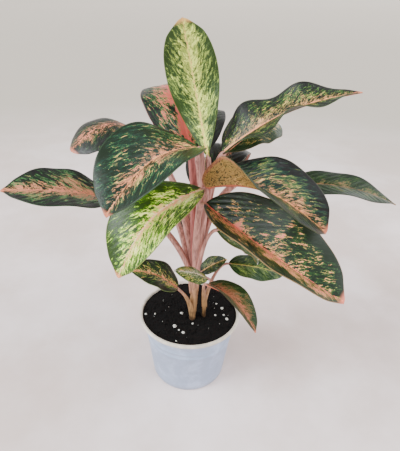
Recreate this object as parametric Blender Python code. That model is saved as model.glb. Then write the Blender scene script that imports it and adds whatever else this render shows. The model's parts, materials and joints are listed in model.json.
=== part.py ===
"""Potted Chinese evergreen (Aglaonema): variegated blades on pink stems, in a plain nursery pot.

Sizes are in millimetres and become metres where a vertex is placed. The origin is the middle
of the pot's base, +Z is up, and the plant's open side faces -Y.
"""
import math
from dataclasses import dataclass

import bmesh
import bpy
from mathutils import Matrix, Vector, noise

MM = 0.001
GAP = 0.3                    # clearance between two pieces that touch
UP = Vector((0.0, 0.0, 1.0))

# Pot: a straight taper, a short flare and a flat lip.
POT_HEIGHT = 103.5
POT_LIP_RADIUS = 70.0
POT_LIP_HEIGHT = 4.5
POT_MOUTH_RADIUS = 66.5
POT_BASE_RADIUS = 52.0
POT_SHOULDER_RADIUS = 62.5
POT_SHOULDER_Z = 88.0
POT_CORNER = 3.0
POT_WALL = 1.6
POT_FLOOR = 2.0
POT_SIDES = 40
DRAIN_COUNT = 6
DRAIN_RADIUS = 3.5
DRAIN_CIRCLE = 34.0

# Soil: fills the pot to just under the lip, with a crumbly top.
SOIL_TOP = 101.0
SOIL_RINGS = 5
SOIL_CRUMB = 0.9
SOIL_MOUND = 1.5

# Canes: the two stems that stand in plain holes in the soil.
CANE_FOOT_Z = 55.0
CANE_HOLE_SIDES = 16

# Blades.
BLADE_EDGE = 0.8             # thickness at the margin
BLADE_RIB = 2.4              # thickness over the midrib at the blade's base
BLADE_NECK = 2.2             # half width where the petiole meets the blade
RIB_SPREAD = 3.0             # how far the midrib's swelling reaches to each side
RIB_TAPER = 0.7              # share of its swelling that the midrib loses by the tip
WAVE_SHIFT = 0.35            # how far the right margin's waves are ahead of the left's, in turns
END_CROWDING = 0.4           # 0 spaces a blade's rows evenly, 1 crowds them most at both ends

# Perlite grains lying half sunk in the soil: x, y and radius.
PERLITE = (
    (-61, -9, 1.7), (-48, -9, 1.6), (-11, -6, 2.4), (-19, -32, 2.8), (-7, -44, 2.4),
    (-13, -39, 1.4), (-15, -59, 1.6), (38, 17, 1.5), (46, 8, 2.2), (48, -6, 1.6), (52, -14, 2.3),
    (36, -8, 1.5), (5, -26, 1.5),
)
PERLITE_SINK = 0.45          # share of the radius that lies below the soil's level
PERLITE_BUMP = 0.25          # how uneven a grain is
SOCKET_EASE = 1.3            # flat faces lie inside the ball, so a socket is opened this much more

COLOURS = {
    "pot": ((0.75, 0.79, 0.83), 0.45),
    "soil": ((0.012, 0.009, 0.007), 0.95),
    "perlite": ((0.80, 0.79, 0.75), 0.9),
    "stem": ((0.72, 0.42, 0.36), 0.4),
    "deep": ((0.03, 0.10, 0.05), 0.35),
    "lime": ((0.30, 0.42, 0.08), 0.4),
}


@dataclass
class Leaf:
    """One leaf: where its blade starts and ends, and how the blade is shaped between them."""
    name: str
    base: tuple              # where the petiole meets the blade
    tip: tuple
    width: float
    arch: float = 0.0        # how far the midrib rises above the straight line base to tip
    sweep: float = 0.0       # how far the midrib bows to the leaf's left
    roll: float = 0.0        # degrees, lifts the left half and drops the right half
    twist: float = 0.0       # degrees of turn between base and tip
    left: tuple = (5, 5, 5)  # degrees each half is folded up, at even steps from base to tip
    right: tuple = (5, 5, 5)
    bow: float = 20.0        # degrees each half curls down towards its margin
    wave: float = 1.5        # height of the margin's waves
    waves: float = 2.5       # number of waves along the margin
    phase: float = 0.0       # where the waves start, in turns
    blunt_base: float = 0.6  # lower is rounder
    blunt_tip: float = 0.8
    rise: float = 170.0      # height at which the petiole leaves the cane
    lift: float = 0.45       # how upright the petiole starts
    petiole: tuple = (5.0, 3.0)  # radius at the sheath and at the blade
    cane: str = "main"
    colour: str = "deep"
    rows: int = 14
    half_columns: int = 4


SMALL = dict(rows=10, half_columns=3, petiole=(2.8, 1.7))

LEAVES = (
    Leaf("leaf_top", (16, -12, 334), (-15, 0, 472), 57, arch=-6, sweep=-14, roll=-76, twist=10,
         left=(12, 12, 12), right=(12, 12, 12), bow=10, wave=1, blunt_base=1.0, blunt_tip=0.55,
         rise=186, colour="lime"),
    Leaf("leaf_back_left", (-4, 8, 333), (-50, 92, 391), 74, arch=34, sweep=8, roll=-12,
         bow=10, wave=1, blunt_base=0.55, blunt_tip=0.6, rise=172, petiole=(5.4, 4.2)),
    Leaf("leaf_front_left", (6, -20, 348), (-77, -118, 311), 92, arch=22, roll=-28,
         left=(45, 48, 45), right=(8, 15, 12), bow=15, blunt_base=0.72, blunt_tip=0.72, rise=182),
    Leaf("leaf_far_left", (-86, -23, 284), (-192, -75, 314), 70, arch=8, sweep=8, roll=-14,
         left=(15, 15, 15), right=(16, 16, 16), bow=10, blunt_base=0.9, rise=150, lift=0.6),
    Leaf("leaf_left", (-62, 62, 333), (-144, 8, 329), 70, arch=25, roll=-5,
         left=(-10, -10, -10), right=(0, 0, 0), bow=15, wave=1, blunt_base=0.7, blunt_tip=0.45,
         rise=166, lift=0.62),
    Leaf("leaf_pale", (12, -35, 306), (-72, -110, 237), 81, arch=22, sweep=-2, roll=-23,
         left=(40, 41, 40), right=(6, 16, 1), bow=15, blunt_base=0.73, blunt_tip=0.68,
         rise=168, colour="lime"),
    Leaf("leaf_upper_right", (32, -5, 338), (176, 0, 409), 69, arch=13, roll=20,
         left=(26, 20, 20), right=(30, 38, 30), bow=10, wave=7, waves=2.5, phase=0.58,
         blunt_base=0.57, blunt_tip=0.95, rise=180),
    Leaf("leaf_under_right", (36, 18, 333), (109, 72, 353), 62, arch=18, roll=15,
         left=(0, 0, 0), right=(-15, -15, -15), bow=15, blunt_tip=0.45, rise=174),
    Leaf("leaf_right", (16, -25, 304), (139, -85, 284), 82, arch=29, sweep=-17, roll=15, twist=11,
         left=(24, 26, 48), right=(126, 90, 46, 32, 38), bow=8, blunt_base=0.57, blunt_tip=0.63,
         rise=176),
    Leaf("leaf_far_right", (113, 20, 294), (246, 0, 280), 52, arch=14, sweep=-10, roll=10,
         left=(12, 12, 12), right=(8, 8, 8), bow=5, wave=2.5, waves=1.8,
         blunt_base=0.8, blunt_tip=1.1, rise=186, lift=1.1),
    Leaf("leaf_front_right", (15, -40, 291), (157, -125, 227), 105, arch=-3, roll=13,
         left=(39, 45, 17), right=(34, 41, 37), bow=5, wave=2, blunt_tip=0.63, rise=170),
    Leaf("leaf_back_high", (4, 28, 322), (24, 140, 350), 52, arch=25, roll=5,
         left=(10, 10, 10), right=(10, 10, 10), rise=178),
    Leaf("leaf_back_right", (24, 28, 290), (72, 142, 272), 54, arch=35, roll=5, rise=165),
    Leaf("leaf_back", (8, 35, 272), (22, 165, 255), 54, arch=30, rise=156),
    Leaf("leaf_back_low_left", (-40, 45, 258), (-133, 100, 265), 54, arch=22, rise=140, lift=0.6),
    Leaf("leaf_back_low", (0, 25, 205), (-18, 130, 185), 48, arch=25, rise=140,
         rows=10, half_columns=3, petiole=(3.6, 2.2)),
    Leaf("leaf_low_right", (30, -22, 248), (88, -4, 188), 52, arch=22, roll=42, rise=150,
         rows=10, half_columns=3, petiole=(3.8, 2.4)),
    Leaf("leaf_low_far_right", (50, 0, 186), (126, 0, 171), 43, arch=4, sweep=-2, roll=18,
         left=(0, 0, 0), bow=10, rise=128, cane="side", **SMALL),
    Leaf("leaf_low_left", (-15, -30, 165), (-74, -40, 197), 46, arch=6, sweep=-2, roll=-28,
         left=(30, 30, 30), bow=15, rise=106, rows=10, half_columns=3, petiole=(4.0, 2.0)),
    Leaf("leaf_small_right", (13, -35, 195), (44, -35, 215), 22, arch=2, roll=30,
         left=(15, 15, 15), right=(15, 15, 15), bow=10, wave=0.8, rise=160, **SMALL),
    Leaf("leaf_small_left", (22, -54, 200), (-17, -68, 219), 27, arch=3, roll=-30,
         left=(0, 0, 0), right=(-30, -30, -30), bow=5, wave=0.8, rise=155, colour="lime", **SMALL),
    Leaf("leaf_lowest", (23, -30, 173), (81, -85, 146), 38, arch=14, roll=22,
         right=(68, 62, 55), bow=5, wave=1, rise=118, cane="side", **SMALL),
)


@dataclass
class Cane:
    """A stem: its place in the soil, where its top is, and its radii there."""
    foot: tuple
    top: tuple
    radii: tuple

    def axis(self, height):
        """The point on the cane's axis at this height; it stands upright below the soil's top."""
        share = max(0.0, (height - SOIL_TOP) / (self.top[2] - SOIL_TOP))
        x = self.foot[0] + (self.top[0] - self.foot[0]) * share
        y = self.foot[1] + (self.top[1] - self.foot[1]) * share
        return Vector((x, y, height))


CANES = {
    "main": Cane(foot=(4, -15), top=(8, -10, 190), radii=(4.2, 6.0)),
    "side": Cane(foot=(20, -9), top=(20, -10, 132), radii=(2.6, 3.2)),
}


# ---------------------------------------------------------------- shared helpers

def clear_scene():
    for old in list(bpy.data.objects):
        bpy.data.objects.remove(old)


def material(name):
    """The named Principled material, made once."""
    if name in bpy.data.materials:
        return bpy.data.materials[name]
    colour, roughness = COLOURS[name]
    mat = bpy.data.materials.new(name)
    mat.use_nodes = True
    surface = mat.node_tree.nodes["Principled BSDF"]
    surface.inputs["Base Color"].default_value = (*colour, 1.0)
    surface.inputs["Roughness"].default_value = roughness
    surface.inputs["Metallic"].default_value = 0.0
    return mat


def add_object(name, bm, mat, smooth_angle=40.0):
    """Turn a bmesh into a named object in the scene."""
    mesh = bpy.data.meshes.new(name)
    bm.to_mesh(mesh)
    bm.free()
    mesh.materials.append(material(mat))
    mesh.shade_smooth()
    mesh.set_sharp_from_angle(angle=math.radians(smooth_angle))
    obj = bpy.data.objects.new(name, mesh)
    bpy.context.scene.collection.objects.link(obj)
    return obj


def revolve(bm, profile, steps):
    """Turn a profile of (radius, height) pairs round the Z axis into a closed surface."""
    verts = [bm.verts.new((radius * MM, 0.0, height * MM)) for radius, height in profile]
    edges = [bm.edges.new(pair) for pair in zip(verts, verts[1:])]
    bmesh.ops.spin(bm, geom=verts + edges, cent=(0, 0, 0), axis=(0, 0, 1), angle=2 * math.pi,
                   steps=steps, use_merge=True)
    bmesh.ops.remove_doubles(bm, verts=bm.verts, dist=1e-6)
    bmesh.ops.recalc_face_normals(bm, faces=bm.faces)


def apply_boolean(obj, others, operation):
    """Join or cut obj with every one of the others in one Boolean, then remove them."""
    group = bpy.data.collections.new(obj.name + "_operands")
    bpy.context.scene.collection.children.link(group)
    for other in others:
        group.objects.link(other)
    boolean = obj.modifiers.new(operation.lower(), "BOOLEAN")
    boolean.operation = operation
    boolean.operand_type = "COLLECTION"
    boolean.collection = group
    boolean.solver = "EXACT"
    depsgraph = bpy.context.evaluated_depsgraph_get()
    result = bpy.data.meshes.new_from_object(obj.evaluated_get(depsgraph))
    obj.modifiers.clear()
    obj.data = result
    for other in others:
        bpy.data.objects.remove(other)
    bpy.data.collections.remove(group)


def cylinder(name, x, y, low, high, radius, sides, mat):
    bm = bmesh.new()
    place = Matrix.Translation((x * MM, y * MM, (low + high) / 2 * MM))
    bmesh.ops.create_cone(bm, cap_ends=True, segments=sides, radius1=radius * MM,
                          radius2=radius * MM, depth=(high - low) * MM, matrix=place)
    return add_object(name, bm, mat)


# ---------------------------------------------------------------- pot and soil

def pot_inside(height):
    """Radius of the pot's inner wall at this height."""
    lip_z = POT_HEIGHT - POT_LIP_HEIGHT
    stations = ((0.0, POT_BASE_RADIUS - POT_WALL), (POT_SHOULDER_Z, POT_SHOULDER_RADIUS - POT_WALL),
                (lip_z, POT_MOUTH_RADIUS - 0.5), (POT_HEIGHT, POT_MOUTH_RADIUS))
    for (low, r_low), (high, r_high) in zip(stations, stations[1:]):
        if height <= high:
            return r_low + (r_high - r_low) * (height - low) / (high - low)
    return POT_MOUTH_RADIUS


def make_pot():
    lip_z = POT_HEIGHT - POT_LIP_HEIGHT
    floor_z = POT_FLOOR
    profile = [
        (0, 0),
        (POT_BASE_RADIUS - POT_CORNER, 0),
        (POT_BASE_RADIUS - POT_CORNER * 0.3, POT_CORNER * 0.3),
        (POT_BASE_RADIUS + 0.3, POT_CORNER),
        (POT_SHOULDER_RADIUS, POT_SHOULDER_Z),
        (POT_MOUTH_RADIUS + POT_WALL - 0.6, lip_z),
        (POT_LIP_RADIUS - 0.5, lip_z),
        (POT_LIP_RADIUS, lip_z + 0.6),
        (POT_LIP_RADIUS, POT_HEIGHT - 1.0),
        (POT_LIP_RADIUS - 1.0, POT_HEIGHT),
        (POT_MOUTH_RADIUS, POT_HEIGHT),
        (pot_inside(lip_z), lip_z),
        (pot_inside(POT_SHOULDER_Z), POT_SHOULDER_Z),
        (pot_inside(floor_z), floor_z),
        (0, floor_z),
    ]
    bm = bmesh.new()
    revolve(bm, profile, POT_SIDES)
    pot = add_object("pot", bm, "pot")
    drains = []
    for index in range(DRAIN_COUNT):
        angle = 2 * math.pi * (index + 0.5) / DRAIN_COUNT
        x, y = DRAIN_CIRCLE * math.cos(angle), DRAIN_CIRCLE * math.sin(angle)
        drains.append(cylinder(f"drain_{index}", x, y, -5, 5 + POT_FLOOR, DRAIN_RADIUS, 12, "pot"))
    apply_boolean(pot, drains, "DIFFERENCE")
    return pot


def soil_height(x, y):
    """Height of the soil's crumbly top: a low mound with lumps, level at the pot's wall."""
    out = min(1.0, math.hypot(x, y) / POT_MOUTH_RADIUS)
    lumps = noise.noise(Vector((x, y, 0)) * 0.09) + 0.5 * noise.noise(Vector((x, y, 40)) * 0.25)
    return SOIL_TOP + (SOIL_MOUND + SOIL_CRUMB * lumps) * (1 - out ** 4)


def make_soil():
    low = POT_FLOOR + GAP
    edge = pot_inside(SOIL_TOP) - 2 * GAP
    profile = [(0, low)]
    for height in (low, POT_SHOULDER_Z, POT_HEIGHT - POT_LIP_HEIGHT):
        profile.append((pot_inside(height) - 2 * GAP, height))
    profile += [(edge * (1 - ring / SOIL_RINGS), SOIL_TOP) for ring in range(SOIL_RINGS + 1)]
    bm = bmesh.new()
    revolve(bm, profile, POT_SIDES)
    for vert in bm.verts:
        if vert.co.z > (SOIL_TOP - 0.01) * MM:
            vert.co.z = soil_height(vert.co.x / MM, vert.co.y / MM) * MM
    soil = add_object("soil", bm, "soil")
    cutters = []
    for name, cane in CANES.items():
        radius = (cane.radii[0] + GAP) / math.cos(math.pi / CANE_HOLE_SIDES)
        cutters.append(cylinder(f"hole_{name}", *cane.foot, CANE_FOOT_Z - GAP, SOIL_TOP + 10, radius,
                                CANE_HOLE_SIDES, "soil"))
    for index in range(len(PERLITE)):
        cutters.append(make_grain(f"socket_{index}", index, GAP))
    apply_boolean(soil, cutters, "DIFFERENCE")
    return soil


def make_grain(name, index, extra=0.0):
    """A crumb of perlite, or with extra its socket in the soil."""
    x, y, radius = PERLITE[index]
    bm = bmesh.new()
    bmesh.ops.create_icosphere(bm, subdivisions=1, radius=1.0)
    centre = Vector((x, y, soil_height(x, y) + radius * (1 - 2 * PERLITE_SINK)))
    for vert in bm.verts:
        bump = 1 + PERLITE_BUMP * noise.noise(vert.co * 2 + Vector((index * 7.3, 0, 0)))
        vert.co = (centre + vert.co * (radius * bump + extra * SOCKET_EASE)) * MM
    return add_object(name, bm, "perlite", smooth_angle=20)


# ---------------------------------------------------------------- blades

def outline(leaf, s):
    """Share of the blade's half width at s, which runs from 0 at the base to 1 at the tip."""
    a, b = leaf.blunt_base, leaf.blunt_tip
    peak = a / (a + b)
    return (s ** a) * ((1 - s) ** b) / (peak ** a * (1 - peak) ** b)


def fold_at(folds, s):
    """A half's fold in radians at s, from its values at even steps from the base to the tip."""
    place = s * (len(folds) - 1)
    step = min(int(place), len(folds) - 2)
    return math.radians(folds[step] + (folds[step + 1] - folds[step]) * (place - step))


def midrib(leaf, s):
    """Point on the midrib, the way it runs, the way to the left margin and the way up."""
    base, tip = Vector(leaf.base), Vector(leaf.tip)
    chord = tip - base
    level = UP.cross(chord).normalized()
    above = chord.cross(level).normalized()
    bend = above * leaf.arch + level * leaf.sweep
    point = base + chord * s + bend * math.sin(math.pi * s)
    along = (chord + bend * math.pi * math.cos(math.pi * s)).normalized()
    roll = math.radians(leaf.roll)
    lean = level * math.cos(roll) + above * math.sin(roll)
    side = (lean - along * lean.dot(along)).normalized()
    turn = Matrix.Rotation(math.radians(leaf.twist) * (s - 0.5), 3, along)
    side = turn @ side
    return point, along, side, along.cross(side)


def blade_point(leaf, s, t):
    """A point on the blade's upper face: s runs along it and t from -1, right, to 1, left."""
    point, _, side, above = midrib(leaf, s)
    half = leaf.width / 2 * outline(leaf, s)
    if s < 0.5:
        half = max(half, BLADE_NECK)
    fold = fold_at(leaf.left if t > 0 else leaf.right, s)
    bow = math.radians(leaf.bow)
    out = abs(t)
    across = (math.sin(fold) - math.sin(fold - bow * out)) / bow
    rise = (math.cos(fold - bow * out) - math.cos(fold)) / bow
    turns = leaf.waves * s + leaf.phase + (WAVE_SHIFT if t < 0 else 0.0)
    wave = leaf.wave * math.sin(2 * math.pi * turns) * out ** 1.5 * half / (leaf.width / 2)
    return point + side * (math.copysign(across, t) * half) + above * (rise * half + wave)


def make_blade(leaf):
    """A blade: a bent grid with a pointed tip, triangulated, then thickened downwards."""
    bm = bmesh.new()
    columns = 2 * leaf.half_columns
    bmesh.ops.create_grid(bm, x_segments=columns, y_segments=leaf.rows, size=1.0)
    swell = {}
    for vert in bm.verts:
        t, u = vert.co.x, (vert.co.y + 1) / 2
        s = u + END_CROWDING * ((1 - math.cos(math.pi * u)) / 2 - u)
        away = abs(t) * leaf.width / 2 * outline(leaf, s)
        rib = (BLADE_RIB - BLADE_EDGE) * (1 - RIB_TAPER * s) * math.exp(-(away / RIB_SPREAD) ** 2)
        vert.co = blade_point(leaf, s, t) * MM
        swell[vert.index] = (BLADE_EDGE + rib) / BLADE_RIB
    layer = bm.verts.layers.deform.new()
    for vert in bm.verts:
        vert[layer][0] = swell[vert.index]
    bmesh.ops.remove_doubles(bm, verts=bm.verts, dist=1e-6)
    bmesh.ops.triangulate(bm, faces=bm.faces, quad_method="FIXED")
    bm.normal_update()
    inner = blade_point(leaf, 0.5, 0.1) * MM
    middle = min(bm.faces, key=lambda face: (face.calc_center_median() - inner).length)
    if middle.normal.dot(midrib(leaf, 0.5)[3]) < 0:
        bmesh.ops.reverse_faces(bm, faces=bm.faces)
    blade = add_object(leaf.name, bm, leaf.colour, smooth_angle=60)
    blade.vertex_groups.new(name="thickness")
    solid = blade.modifiers.new("thickness", "SOLIDIFY")
    solid.thickness = BLADE_RIB * MM
    solid.offset = -1.0
    solid.vertex_group = "thickness"
    return blade


# ---------------------------------------------------------------- canes and petioles

def tube(name, points, radii):
    """A round stem through Bezier points given as (before, at, after), with filled ends."""
    curve = bpy.data.curves.new(name, "CURVE")
    curve.dimensions = "3D"
    curve.bevel_depth = MM
    curve.bevel_resolution = 1
    curve.resolution_u = 8
    curve.use_fill_caps = True
    spline = curve.splines.new("BEZIER")
    spline.bezier_points.add(len(points) - 1)
    for knot, (before, at, after), radius in zip(spline.bezier_points, points, radii):
        knot.handle_left_type = knot.handle_right_type = "FREE"
        knot.handle_left, knot.co, knot.handle_right = before * MM, at * MM, after * MM
        knot.radius = radius
    guide = bpy.data.objects.new(name, curve)
    bpy.context.scene.collection.objects.link(guide)
    depsgraph = bpy.context.evaluated_depsgraph_get()
    mesh = bpy.data.meshes.new_from_object(guide.evaluated_get(depsgraph))
    bpy.data.objects.remove(guide)
    bm = bmesh.new()
    bm.from_mesh(mesh)
    bmesh.ops.remove_doubles(bm, verts=bm.verts, dist=1e-6)
    bmesh.ops.recalc_face_normals(bm, faces=bm.faces)
    return add_object(name, bm, "stem")


def make_petiole(leaf):
    """The leaf's stalk: it leaves its cane upwards and turns into the line of the midrib."""
    start = CANES[leaf.cane].axis(leaf.rise)
    point, along, _, above = midrib(leaf, 0.0)
    end = point - above * (BLADE_RIB / 2) - along * GAP
    reach = (end - start).length
    level = Vector((end.x - start.x, end.y - start.y, 0)) / reach
    leave = start + (UP * leaf.lift + level * 0.15) * reach
    arrive = end - along * min(14.0, reach * 0.3)
    return tube("petiole_" + leaf.name, [(start, start, leave), (arrive, end, end)], leaf.petiole)


def make_stems(key):
    """A cane with all its petioles, fused into one body."""
    cane = CANES[key]
    foot, soil, top = (cane.axis(z) for z in (CANE_FOOT_Z, SOIL_TOP, cane.top[2]))
    third = (top - soil) / 3
    stem = tube("stems_" + key, [(foot, foot, foot), (soil, soil, soil + UP * third.length),
                                 (top - third, top, top)], (cane.radii[0], *cane.radii))
    petioles = [make_petiole(leaf) for leaf in LEAVES if leaf.cane == key]
    apply_boolean(stem, petioles, "UNION")
    return stem


def main():
    clear_scene()
    make_pot()
    make_soil()
    for index in range(len(PERLITE)):
        make_grain(f"perlite_{index + 1:02d}", index)
    for key in CANES:
        make_stems(key)
    for leaf in LEAVES:
        make_blade(leaf)


main()
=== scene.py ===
# %% [markdown]
# # A potted Chinese evergreen
# The plant is an Aglaonema: two short canes in a nursery pot, a pink stalk for every leaf, and
# broad blades splashed with cream, olive and salmon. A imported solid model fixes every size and
# place. This script dresses it: each solid is replaced by a finer piece of the same form, and
# every piece gets a finish made of nodes.

# %% Load the solid model
import json
import math
import random
from dataclasses import dataclass
from statistics import NormalDist

import bmesh
import bpy
from mathutils import Matrix, Vector, noise

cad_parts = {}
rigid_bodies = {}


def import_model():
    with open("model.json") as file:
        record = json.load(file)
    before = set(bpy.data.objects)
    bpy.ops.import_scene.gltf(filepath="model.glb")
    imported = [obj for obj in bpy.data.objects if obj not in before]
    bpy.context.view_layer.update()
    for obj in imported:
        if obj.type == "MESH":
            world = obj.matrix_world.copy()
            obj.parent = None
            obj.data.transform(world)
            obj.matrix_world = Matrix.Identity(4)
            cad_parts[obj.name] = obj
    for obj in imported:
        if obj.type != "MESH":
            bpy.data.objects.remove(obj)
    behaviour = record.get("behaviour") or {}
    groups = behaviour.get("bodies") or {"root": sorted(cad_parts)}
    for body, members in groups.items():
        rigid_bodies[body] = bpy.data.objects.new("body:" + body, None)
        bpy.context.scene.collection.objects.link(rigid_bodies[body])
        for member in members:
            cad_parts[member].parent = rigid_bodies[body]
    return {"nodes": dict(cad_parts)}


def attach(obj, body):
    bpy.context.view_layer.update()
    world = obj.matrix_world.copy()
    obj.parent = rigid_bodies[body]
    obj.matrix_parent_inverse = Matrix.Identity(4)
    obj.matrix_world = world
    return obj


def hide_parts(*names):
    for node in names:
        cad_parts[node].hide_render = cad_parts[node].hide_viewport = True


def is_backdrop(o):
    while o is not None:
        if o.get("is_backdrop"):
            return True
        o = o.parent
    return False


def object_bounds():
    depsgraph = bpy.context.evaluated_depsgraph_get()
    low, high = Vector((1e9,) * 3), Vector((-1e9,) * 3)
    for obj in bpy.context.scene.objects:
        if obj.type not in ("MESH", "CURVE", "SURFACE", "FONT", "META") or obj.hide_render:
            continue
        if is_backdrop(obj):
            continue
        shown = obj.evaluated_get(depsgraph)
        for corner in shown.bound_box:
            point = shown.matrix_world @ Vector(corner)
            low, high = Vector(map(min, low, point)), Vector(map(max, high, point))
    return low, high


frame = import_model()
solid_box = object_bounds()
print("solids:", len(frame["nodes"]))
print("box:", [tuple(round(x, 3) for x in corner) for corner in solid_box])

# %% [markdown]
# Sizes are written in millimetres and become metres where a vertex is placed. Three helpers are
# used by every piece: one turns a bmesh into an object at the origin, one turns a profile round
# the upright axis, and one says which solid a piece stands for.

# %% Helpers for shapes
MM = 0.001
UP = Vector((0.0, 0.0, 1.0))


def smooth_step(low, high, value):
    """0 below low, 1 above high, and an S curve between."""
    share = min(1.0, max(0.0, (value - low) / (high - low)))
    return share * share * (3 - 2 * share)


def add_piece(name, bm, finishes, solids=(), sharp=40.0):
    """Make a mesh object at the origin that rides on the plant."""
    mesh = bpy.data.meshes.new(name)
    bm.to_mesh(mesh)
    bm.free()
    for finish in finishes:
        mesh.materials.append(finish)
    mesh.shade_smooth()
    mesh.set_sharp_from_angle(angle=math.radians(sharp))
    piece = bpy.data.objects.new(name, mesh)
    bpy.context.scene.collection.objects.link(piece)
    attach(piece, "root")
    if solids:
        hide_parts(*solids)
    return piece


def revolve(bm, profile, steps):
    """Turn (radius, height) points round the upright axis into a closed surface."""
    verts = [bm.verts.new((radius * MM, 0.0, height * MM)) for radius, height in profile]
    edges = [bm.edges.new(pair) for pair in zip(verts, verts[1:])]
    bmesh.ops.spin(bm, geom=verts + edges, cent=(0, 0, 0), axis=(0, 0, 1), angle=2 * math.pi,
                   steps=steps, use_merge=True)
    bmesh.ops.remove_doubles(bm, verts=bm.verts, dist=1e-6)
    bmesh.ops.recalc_face_normals(bm, faces=bm.faces)


# %% [markdown]
# Finishes are written as sums. `Wire` wraps a socket, so `1 - mask * 0.5` adds the Math nodes
# by itself. `Finish` holds one material, and its `add` makes any other node from its type, its
# settings and what goes into its sockets. Colours are given as they should show on a screen, 0
# to 255. Blender's view has a film-like curve that pales and greys what is bright, so `tone`
# undoes that curve and divides by the light, and what is left is the pigment.

# %% Helpers for finishes
VIEW_GREY = 0.22             # scene light that shows as middle grey
VIEW_CONTRAST = 1.19
VIEW_FADE = 0.853            # share of a screen colour's saturation before the curve
VIEW_RICHNESS = 1.187        # and what it takes back after it
DAYLIGHT = 2.2               # how strongly the lamps light what faces them
SHEEN = 0.016                # what a glossy skin adds to every colour


def tone(red, green, blue):
    """The pigment that shows as this screen colour once it is lit and developed."""
    shown = [red / 255, green / 255, blue / 255]
    grey = sum(shown) / 3
    faded = [grey + (part - grey) * VIEW_FADE for part in shown]
    light = [VIEW_GREY * (part / (1 - part)) ** VIEW_CONTRAST for part in faded]
    grey = sum(light) / 3
    rich = [grey + (part - grey) * VIEW_RICHNESS for part in light]
    return (*(min(0.9, max(0.002, (part - SHEEN) / DAYLIGHT)) for part in rich), 1.0)


class Wire:
    """A socket that can be used in sums."""

    def __init__(self, finish, socket):
        self.finish = finish
        self.socket = socket

    def __add__(self, other):
        return self.finish.sum("ADD", self, other)

    def __sub__(self, other):
        return self.finish.sum("SUBTRACT", self, other)

    def __rsub__(self, other):
        return self.finish.sum("SUBTRACT", other, self)

    def __mul__(self, other):
        return self.finish.sum("MULTIPLY", self, other)

    def __abs__(self):
        return self.finish.sum("ABSOLUTE", self)

    __radd__ = __add__
    __rmul__ = __mul__


class Finish:
    """A material in the making."""

    def __init__(self, name, **constants):
        self.material = bpy.data.materials.new(name)
        self.material.use_nodes = True
        self.tree = self.material.node_tree
        self.surface = self.tree.nodes["Principled BSDF"]
        for socket, value in constants.items():
            self.surface.inputs[socket.replace("_", " ")].default_value = value

    def add(self, kind, settings=None, sockets=None, output=0):
        """Make a node of this kind, set it, and fill or link its sockets."""
        node = self.tree.nodes.new(kind)
        for name, value in (settings or {}).items():
            setattr(node, name, value)
        for key, value in (sockets or {}).items():
            self.join(node.inputs[key], value)
        return Wire(self, node.outputs[output])

    def join(self, socket, value):
        if isinstance(value, Wire):
            self.tree.links.new(value.socket, socket)
        else:
            socket.default_value = value

    def wear(self, **links):
        """Join what changes over the surface to the Principled node."""
        for socket, value in links.items():
            self.join(self.surface.inputs[socket.replace("_", " ")], value)
        return self.material

    def sum(self, operation, *values):
        return self.add("ShaderNodeMath", {"operation": operation}, dict(enumerate(values)))

    def step(self, value, low, high):
        """0 at low and 1 at high, with an S curve between."""
        return self.add("ShaderNodeMapRange", {"interpolation_type": "SMOOTHSTEP"},
                        {"Value": value, "From Min": low, "From Max": high})

    def mix(self, share, first, second):
        """A colour between two, by share."""
        settings = {"data_type": "RGBA", "clamp_factor": True}
        return self.add("ShaderNodeMix", settings, {0: share, 6: first, 7: second}, output=2)

    def vector(self, x, y, z):
        return self.add("ShaderNodeCombineXYZ", None, {"X": x, "Y": y, "Z": z})

    def parts(self, vector):
        """The three numbers of a vector."""
        first = self.add("ShaderNodeSeparateXYZ", None, {"Vector": vector})
        outputs = first.socket.node.outputs
        return [Wire(self, outputs[index]) for index in range(3)]

    def attribute(self, name):
        return self.add("ShaderNodeAttribute", {"attribute_name": name}, output=1)

    def place(self):
        """The object's own coordinates, in metres."""
        return self.add("ShaderNodeTexCoord", output=3)

    def noise(self, vector, scale, detail=2.0, roughness=0.5, distortion=0.0):
        return self.add("ShaderNodeTexNoise", None,
                        {"Vector": vector, "Scale": scale, "Detail": detail,
                         "Roughness": roughness, "Distortion": distortion})

    def ramp(self, value, stops):
        """A colour that runs through (position, colour) stops as the value rises."""
        wire = self.add("ShaderNodeValToRGB", None, {"Fac": value})
        scale = wire.socket.node.color_ramp.elements
        while len(scale) < len(stops):
            scale.new(1.0)
        for element, (position, colour) in zip(scale, stops):
            element.position = position
            element.color = colour
        return wire

    def bump(self, height, distance, strength=1.0):
        return self.add("ShaderNodeBump", None, {"Height": height, "Distance": distance,
                                                 "Strength": strength})


# %% [markdown]
# ## Camera
# The plant is looked at from a little above its top leaf and close by, so the pot shrinks
# away below. Its turn becomes one matrix from three directions: its right, its up and the way
# it looks away from.

# %% Camera
CAMERA_PLACE = Vector((9.3, -445.0, 485.5)) * MM
CAMERA_DOWN = math.radians(28.8)
CAMERA_ROLL = math.radians(2.14)
CAMERA_TURN = math.radians(0.1)
CAMERA_LENS = 32.33          # millimetres, behind a sensor of 36

look = Vector((math.sin(CAMERA_TURN) * math.cos(CAMERA_DOWN),
               math.cos(CAMERA_TURN) * math.cos(CAMERA_DOWN), -math.sin(CAMERA_DOWN)))
level_right = look.cross(UP).normalized()
level_up = level_right.cross(look)
right = level_right * math.cos(CAMERA_ROLL) + level_up * math.sin(CAMERA_ROLL)
above = level_up * math.cos(CAMERA_ROLL) - level_right * math.sin(CAMERA_ROLL)
camera_data = bpy.data.cameras.new("camera")
camera_data.sensor_width = 36.0
camera_data.lens = CAMERA_LENS
camera_data.clip_start = 0.01
camera = bpy.data.objects.new("camera", camera_data)
turn = Matrix((right, above, -look)).transposed().to_4x4()
camera.matrix_world = Matrix.Translation(CAMERA_PLACE) @ turn
bpy.context.scene.collection.objects.link(camera)
bpy.context.scene.camera = camera
print("camera looks", [round(x, 3) for x in look])

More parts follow.
